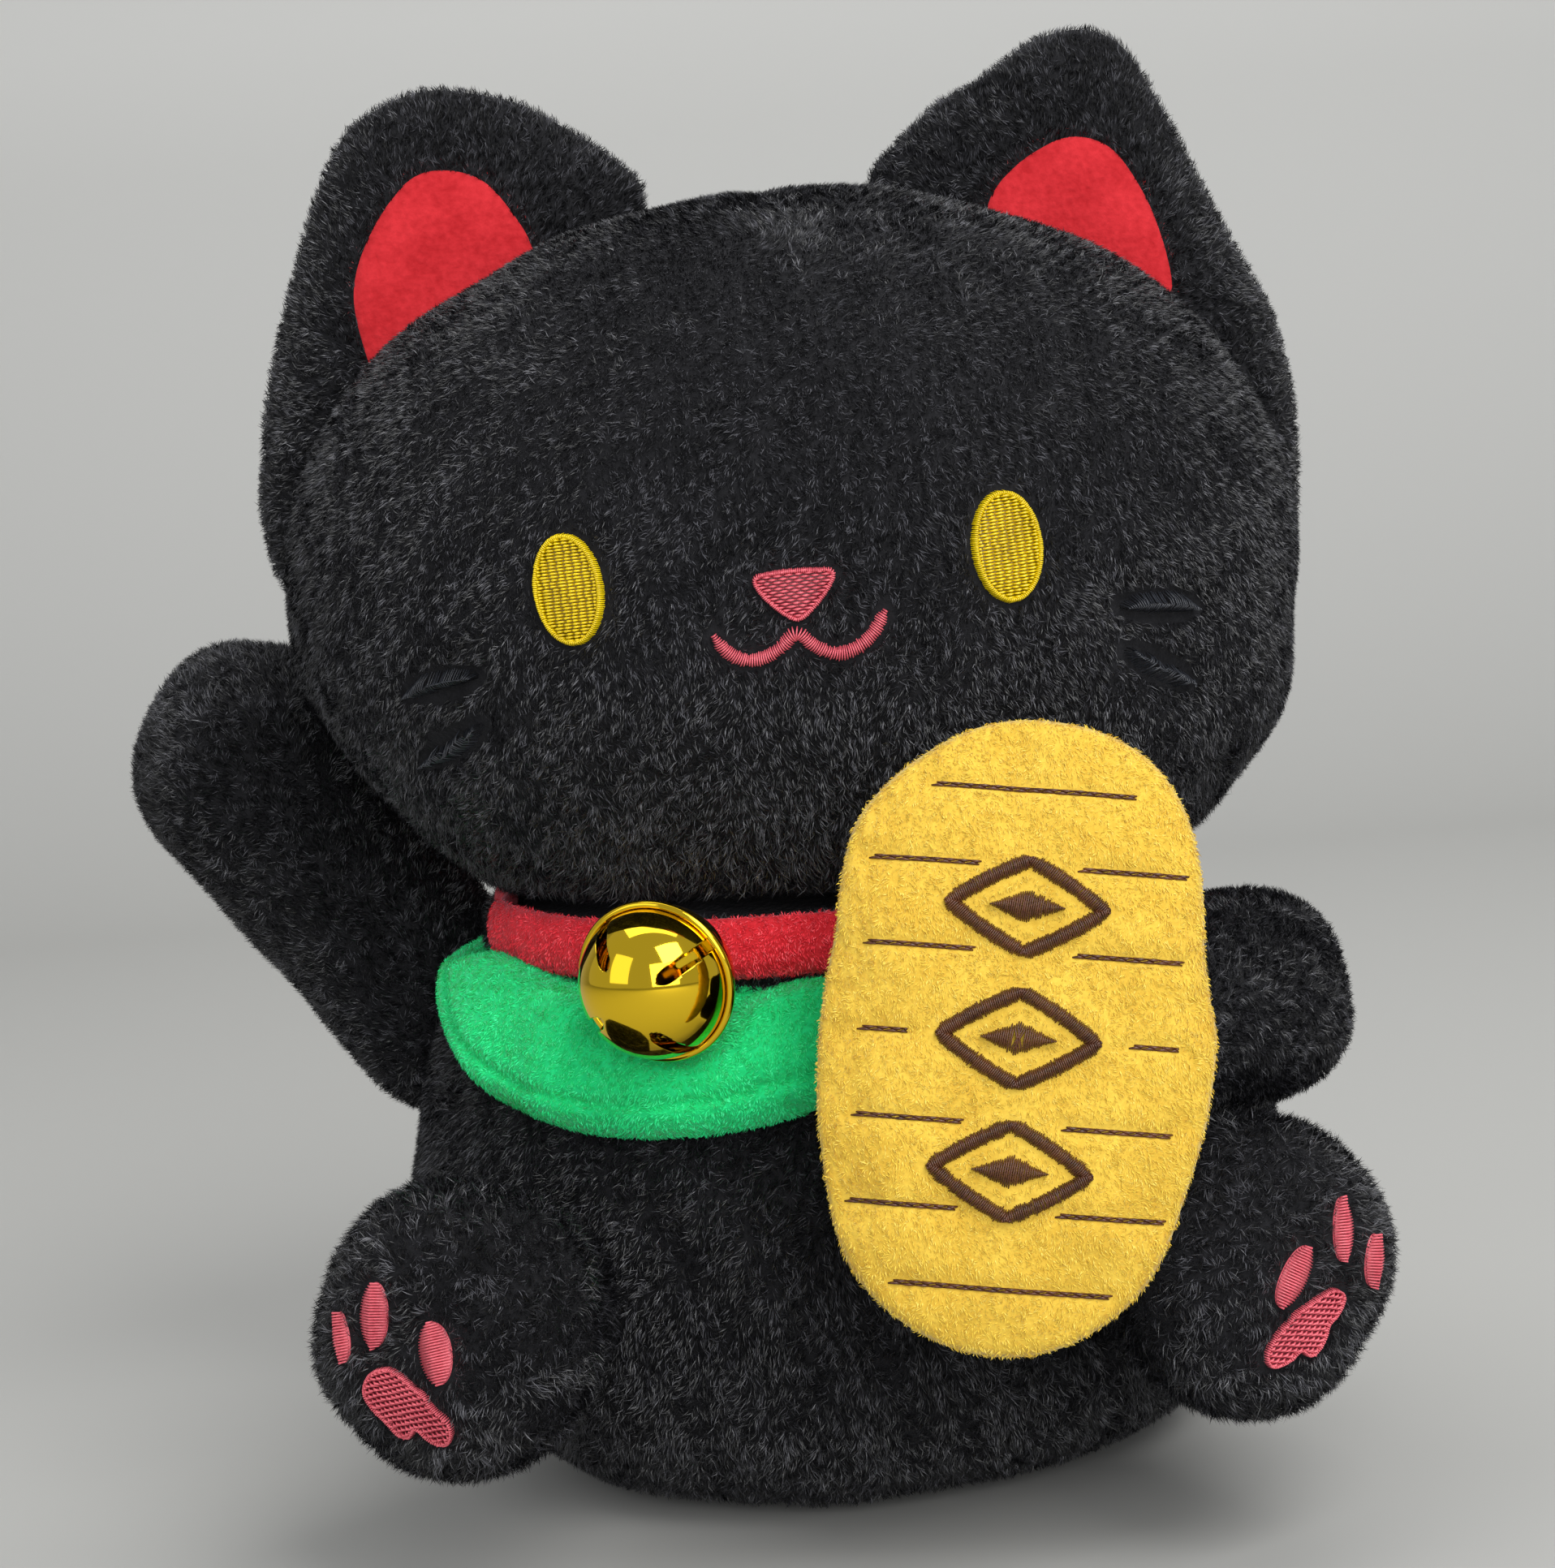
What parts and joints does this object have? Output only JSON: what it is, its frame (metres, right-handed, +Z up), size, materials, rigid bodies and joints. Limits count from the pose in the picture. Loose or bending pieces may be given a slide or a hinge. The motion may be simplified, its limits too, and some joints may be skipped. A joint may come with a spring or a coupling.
{
  "type": "plush beckoning cat",
  "caption": "Sitting beckoning cat, a stuffed black pile-fabric toy with one paw raised, a padded coin under the other, a collar, a bib and a round bell.",
  "frame": {"origin": "middle of the flat base, on the floor", "axes": "+X to the viewer's right when looking at the face, -Y towards the viewer, +Z up"},
  "size_m": [0.25, 0.2001, 0.2841],
  "materials": {
    "black_pile": "short cut pile, matte",
    "stuffing": "loose polyester fibre",
    "pellet_bag": "woven bag of pellets",
    "red_velour": "soft short velour",
    "green_velour": "soft short velour",
    "red_pile": "cut pile",
    "yellow_thread": "satin embroidery",
    "pink_thread": "satin embroidery",
    "black_thread": "satin embroidery",
    "yellow_velour": "soft short velour",
    "brown_thread": "satin embroidery",
    "bell_brass": "polished, plated",
    "bell_steel": "satin"
  },
  "bodies": {
    "torso": {"body_skin": "black_pile", "body_filling": "stuffing", "bottom_panel": "black_pile", "weight_bag": "pellet_bag", "neck_roll": "black_pile", "collar": "red_velour", "bib": "green_velour", "bell_thread": "red_velour"},
    "head": {"head_skin": "black_pile", "head_filling": "stuffing", "ear_left": "black_pile", "ear_right": "black_pile", "ear_left_lining": "red_pile", "ear_right_lining": "red_pile", "eye_left": "yellow_thread", "eye_right": "yellow_thread", "nose": "pink_thread", "mouth": "pink_thread", "whiskers_left": "black_thread", "whiskers_right": "black_thread"},
    "raised_arm": {"raised_arm_skin": "black_pile", "raised_arm_filling": "stuffing"},
    "coin_arm": {"coin_arm_skin": "black_pile", "coin_arm_filling": "stuffing", "coin_front": "yellow_velour", "coin_back": "yellow_velour", "coin_filling": "stuffing", "coin_lines": "brown_thread", "coin_motif": "brown_thread"},
    "leg_left": {"leg_left_skin": "black_pile", "leg_left_filling": "stuffing", "paw_pads_left": "pink_thread"},
    "leg_right": {"leg_right_skin": "black_pile", "leg_right_filling": "stuffing", "paw_pads_right": "pink_thread"},
    "bell": {"bell_front": "bell_brass", "bell_back": "bell_brass", "bell_rim": "bell_brass", "bell_loop": "bell_brass"},
    "pellet": {"bell_pellet": "bell_steel"}
  },
  "joints": [
    {"name": "neck_turn", "type": "hinge", "parent": "torso", "child": "head", "pos_m": [0, 0, 0.1201], "axis": [0, 0, 1], "range_deg": [-7, 7]},
    {"name": "beckon", "type": "hinge", "parent": "torso", "child": "raised_arm", "pos_m": [-0.08, 0.014, 0.093], "axis": [0.6598, -0.4899, 0.5698], "range_deg": [0, 30], "stiffness_Nm_per_rad": 1.2},
    {"name": "coin_tilt", "type": "hinge", "parent": "torso", "child": "coin_arm", "pos_m": [0.0835, -0.008, 0.087], "axis": [0.3766, 0.9192, -0.1149], "range_deg": [0, 8], "stiffness_Nm_per_rad": 1},
    {"name": "leg_left_splay", "type": "hinge", "parent": "torso", "child": "leg_left", "pos_m": [-0.062, -0.056, 0.049], "axis": [0, 0, -1], "range_deg": [0, 14], "stiffness_Nm_per_rad": 0.3},
    {"name": "leg_right_splay", "type": "hinge", "parent": "torso", "child": "leg_right", "pos_m": [0.062, -0.056, 0.049], "axis": [0, 0, 1], "range_deg": [0, 14], "stiffness_Nm_per_rad": 0.3},
    {"name": "bell_swing", "type": "hinge", "parent": "torso", "child": "bell", "pos_m": [-0.0241, -0.06882, 0.11454], "axis": [-0.9278, 0.3731, 0], "range_deg": [0, 25]},
    {"name": "pellet_rattle", "type": "slide", "parent": "bell", "child": "pellet", "axis": [1, 0, 0], "range_m": [-0.004, 0.004]}
  ]
}
